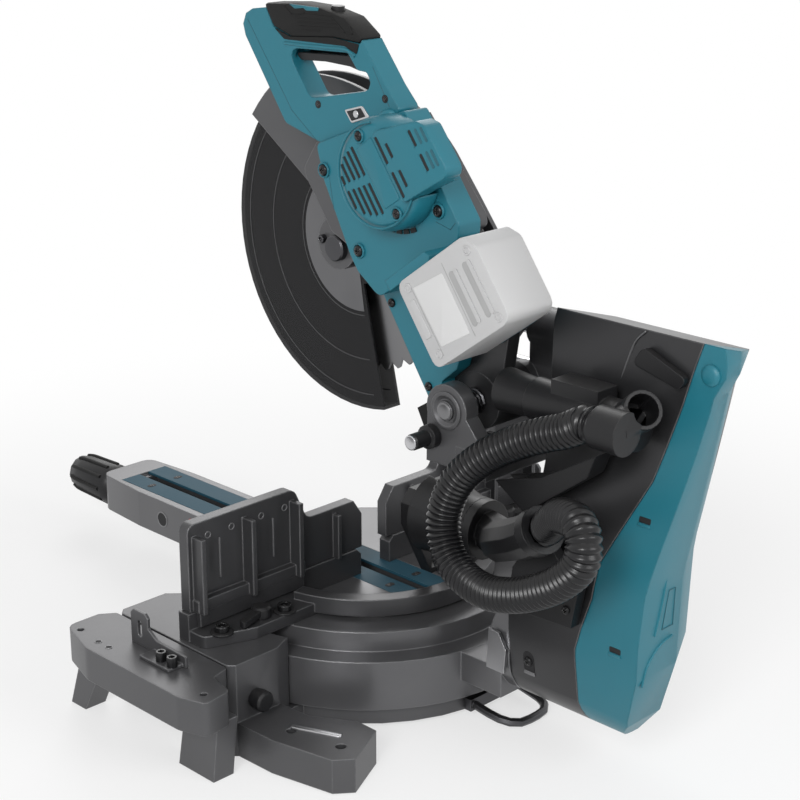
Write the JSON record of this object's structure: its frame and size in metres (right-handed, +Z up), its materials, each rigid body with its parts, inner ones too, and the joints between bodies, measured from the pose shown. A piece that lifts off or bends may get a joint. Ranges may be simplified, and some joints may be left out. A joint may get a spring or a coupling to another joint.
{
  "type": "sliding miter saw",
  "caption": "Cordless sliding miter saw: a tilting, sliding and chopping saw head on a turning table, with slide-out wings, tall sliding fences and a ribbed dust hose.",
  "frame": {"origin": "centre of the bounding box's footprint, on the surface that the base stands on", "axes": "+Z up, +Y to the rear, away from the operator, +X to the operator's right"},
  "size_m": [0.626, 0.929, 0.6567],
  "materials": {
    "orange_plastic": "translucent orange moulding",
    "polished_steel": "ground and polished",
    "cast_grey": "dark grey painted die casting",
    "battery_pale": "pale grey fine-grained moulding",
    "teal_plastic": "teal fine-grained moulding",
    "black_plastic": "black moulding",
    "zinc_plate": "bright zinc plating",
    "black_rubber": "ribbed black overmould",
    "hose_black": "black corrugated hose",
    "cast_dark_gloss": "dark semi-gloss painted die casting",
    "kerf_plastic": "dark teal moulding",
    "guard_smoke": "smoke-tinted clear moulding",
    "dark_steel": "blackened wire",
    "blade_steel": "brushed disc with ground teeth"
  },
  "bodies": {
    "base": {"base_casting": "cast_grey", "guide_fence": "cast_grey", "rear_stand": "dark_steel", "angle_pointer": "orange_plastic"},
    "right_fence": {"right_upper_fence": "cast_grey"},
    "left_fence": {"left_upper_fence": "cast_grey"},
    "right_lever": {"right_fence_lever": "black_plastic"},
    "left_lever": {"left_fence_lever": "black_plastic"},
    "right_extension": {"right_wing": "cast_grey", "right_wing_rod": "zinc_plate", "right_stop_plate": "zinc_plate"},
    "left_extension": {"left_wing": "cast_grey", "left_wing_rod": "zinc_plate", "left_stop_plate": "zinc_plate"},
    "right_screw": {"right_thumb_screw": "black_plastic"},
    "left_screw": {"left_thumb_screw": "black_plastic"},
    "table": {"turntable": "cast_dark_gloss", "right_kerf_board": "kerf_plastic", "left_kerf_board": "kerf_plastic", "bevel_shaft": "polished_steel", "bevel_stop": "zinc_plate"},
    "knob": {"miter_knob": "black_plastic"},
    "lock_lever": {"miter_lock_lever": "black_plastic"},
    "bevel_frame": {"bevel_arm": "cast_grey", "rear_cover": "teal_plastic", "lower_slide_pole": "polished_steel", "upper_slide_pole": "polished_steel", "pole_end_plate": "cast_grey", "dust_nozzle": "black_plastic", "hose_port": "black_plastic", "dust_scoop": "black_plastic", "dust_hose": "hose_black"},
    "latch": {"bevel_latch": "black_plastic"},
    "carriage": {"slide_carriage": "cast_grey", "pivot_shaft": "polished_steel", "return_spring": "dark_steel"},
    "pin": {"stopper_pin": "black_plastic"},
    "slide_knob": {"slide_lock_knob": "black_plastic"},
    "head": {"head_arm": "cast_dark_gloss", "blade_case": "cast_grey", "dust_flap": "black_rubber", "gear_case": "cast_grey", "motor_housing": "teal_plastic", "motor_cover": "teal_plastic", "controller_box": "teal_plastic", "side_cover": "teal_plastic", "battery_holder": "teal_plastic", "d_handle": "teal_plastic", "handle_grip": "black_rubber", "dust_duct": "black_plastic", "dust_joint": "black_plastic"},
    "trigger_body": {"trigger": "black_plastic"},
    "button": {"lock_off_button": "black_plastic"},
    "pack": {"battery": "battery_pale"},
    "guard": {"lower_guard": "guard_smoke"},
    "blade": {"saw_blade": "blade_steel", "arbor": "polished_steel", "outer_flange": "polished_steel"}
  },
  "joints": [
    {"name": "miter_turn", "type": "hinge", "parent": "base", "child": "table", "pos_m": [0, 0.0355, 0.092], "axis": [0, 0, 1], "range_deg": [-50, 50]},
    {"name": "bevel_tilt", "type": "hinge", "parent": "table", "child": "bevel_frame", "pos_m": [0, 0.2735, 0.092], "axis": [0, 1, 0], "range_deg": [-45, 45]},
    {"name": "head_slide", "type": "slide", "parent": "bevel_frame", "child": "carriage", "axis": [0, 1, 0], "range_m": [-0.28, 0], "deforming": ["dust_hose"]},
    {"name": "head_chop", "type": "hinge", "parent": "carriage", "child": "head", "pos_m": [0, 0.2095, 0.317], "axis": [-1, 0, 0], "range_deg": [-62, 0], "stiffness_Nm_per_rad": 6, "springref_deg": 74.48, "deforming": ["dust_hose"]},
    {"name": "guard_swing", "type": "hinge", "parent": "head", "child": "guard", "pos_m": [0, 0.03233, 0.4324], "axis": [1, 0, 0], "range_deg": [-140, 0]},
    {"name": "blade_spin", "type": "hinge", "parent": "head", "child": "blade", "pos_m": [0, 0.03233, 0.4324], "axis": [1, 0, 0], "continuous": true},
    {"name": "trigger_pull", "type": "hinge", "parent": "head", "child": "trigger_body", "pos_m": [0.06, 0.101, 0.6126], "axis": [1, 0, 0], "range_deg": [-5, 0], "stiffness_Nm_per_rad": 0.6, "springref_deg": 2.86},
    {"name": "button_press", "type": "slide", "parent": "head", "child": "button", "axis": [0, 0.0556, 0.9985], "range_m": [-0.003, 0], "stiffness_N_per_m": 300, "springref_m": 0.003},
    {"name": "battery_slide", "type": "slide", "parent": "head", "child": "pack", "axis": [0, 0.809, 0.5878], "range_m": [0, 0.09]},
    {"name": "knob_turn", "type": "hinge", "parent": "table", "child": "knob", "pos_m": [0, -0.3695, 0.062], "axis": [0, 1, 0], "range_deg": [-90, 90]},
    {"name": "lock_press", "type": "hinge", "parent": "table", "child": "lock_lever", "pos_m": [0, -0.3105, 0.0545], "axis": [1, 0, 0], "range_deg": [0, 12], "stiffness_Nm_per_rad": 0.5, "springref_deg": -5.73},
    {"name": "right_fence_slide", "type": "slide", "parent": "base", "child": "right_fence", "axis": [1, 0, 0], "range_m": [0, 0.08]},
    {"name": "left_fence_slide", "type": "slide", "parent": "base", "child": "left_fence", "axis": [1, 0, 0], "range_m": [-0.08, 0]},
    {"name": "right_lever_swing", "type": "hinge", "parent": "base", "child": "right_lever", "pos_m": [0.172, 0.0685, 0.104], "axis": [0, 0, 1], "range_deg": [0, 60]},
    {"name": "left_lever_swing", "type": "hinge", "parent": "base", "child": "left_lever", "pos_m": [-0.172, 0.0685, 0.104], "axis": [0, 0, 1], "range_deg": [-60, 0]},
    {"name": "right_extension_slide", "type": "slide", "parent": "base", "child": "right_extension", "axis": [1, 0, 0], "range_m": [0, 0.045]},
    {"name": "left_extension_slide", "type": "slide", "parent": "base", "child": "left_extension", "axis": [1, 0, 0], "range_m": [-0.045, 0]},
    {"name": "right_screw_turn", "type": "hinge", "parent": "base", "child": "right_screw", "pos_m": [0.217, 0.1105, 0.052], "axis": [0, 1, 0], "range_deg": [-180, 180]},
    {"name": "left_screw_turn", "type": "hinge", "parent": "base", "child": "left_screw", "pos_m": [-0.217, 0.1105, 0.052], "axis": [0, 1, 0], "range_deg": [-180, 180]},
    {"name": "latch_lift", "type": "hinge", "parent": "bevel_frame", "child": "latch", "pos_m": [0.024, 0.3855, 0.394], "axis": [1, 0, 0], "range_deg": [0, 25]},
    {"name": "pin_pull", "type": "slide", "parent": "carriage", "child": "pin", "axis": [1, 0, 0], "range_m": [0, 0.012]},
    {"name": "slide_knob_turn", "type": "hinge", "parent": "carriage", "child": "slide_knob", "pos_m": [0.072, 0.2455, 0.2745], "axis": [1, 0, 0], "range_deg": [-90, 90]}
  ],
  "couplings": [
    {"joint": "guard_swing", "follows": "head_chop", "ratio": 2.25}
  ]
}
